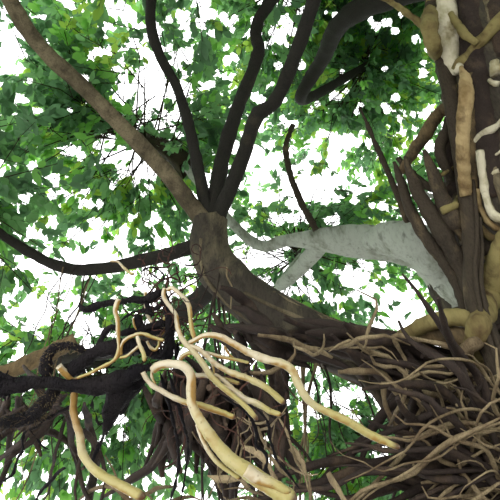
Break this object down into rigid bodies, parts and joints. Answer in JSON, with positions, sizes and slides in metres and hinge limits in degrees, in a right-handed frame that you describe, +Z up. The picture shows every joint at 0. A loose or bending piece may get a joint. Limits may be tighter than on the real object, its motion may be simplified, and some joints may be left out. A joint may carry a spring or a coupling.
{
  "type": "banyan tree",
  "caption": "Whole banyan tree with a fluted trunk, spreading boughs, leafy crown and aerial roots, one of them ending in fresh pale rootlets.",
  "frame": {"origin": "centre of the trunk's flat cut at ground level", "axes": "+Z up the trunk, -Y towards the side from which the crown is seen from below, +X to the right of that view"},
  "size_m": [12.7728, 13.3459, 9.6287],
  "materials": {
    "bark": "fluted grey-brown bark with pale olive and orange-brown patches",
    "root_bark": "smooth tan to reddish-brown root bark with fine rings",
    "old_root": "blackened, knobby and flaking root bark",
    "fresh_root": "fresh cream rootlets, amber underneath and greenish at the tips",
    "leaves": "smooth green leaves that let light through"
  },
  "bodies": {
    "root": {"trunk": "bark", "limb_front": "bark", "limb_left": "bark", "limb_back_left": "bark", "limb_right": "bark", "limb_back_right": "bark", "limb_front_right": "bark", "bough_left": "bark", "bough_front_left": "bark", "bough_front": "bark", "bough_back_left": "bark", "bough_over_left": "bark", "bough_over_right": "bark", "bough_pale": "bark", "bough_pale_fork": "bark", "bough_back_top": "bark", "bough_front_top": "bark", "bough_front_mid": "bark", "bough_right": "bark", "bough_right_mid": "bark", "bough_back_right": "bark", "bough_back": "bark", "bough_front_right": "bark", "bough_right_top": "bark", "standing_root_1": "root_bark", "standing_root_2": "root_bark", "standing_root_3": "root_bark", "standing_root_4": "root_bark", "standing_root_5": "root_bark", "hanging_roots_1": "root_bark", "hanging_roots_2": "root_bark", "hanging_roots_3": "root_bark", "hanging_roots_4": "root_bark", "hanging_roots_5": "root_bark", "hanging_roots_6": "root_bark", "old_root_hanging": "old_root", "old_root_turn": "old_root", "old_root_knot": "old_root", "fresh_roots_left": "fresh_root", "fresh_roots_centre": "fresh_root", "fresh_roots_right": "fresh_root", "fresh_roots_top": "fresh_root", "crown_low_1": "leaves", "crown_low_2": "leaves", "crown_low_3": "leaves", "crown_low_4": "leaves", "crown_low_5": "leaves", "crown_low_6": "leaves", "crown_low_7": "leaves", "crown_low_8": "leaves", "crown_mid_1": "leaves", "crown_mid_2": "leaves", "crown_mid_3": "leaves", "crown_mid_4": "leaves", "crown_mid_5": "leaves", "crown_mid_6": "leaves", "crown_top_1": "leaves", "crown_top_2": "leaves", "crown_top_3": "leaves"}
  },
  "joints": []
}
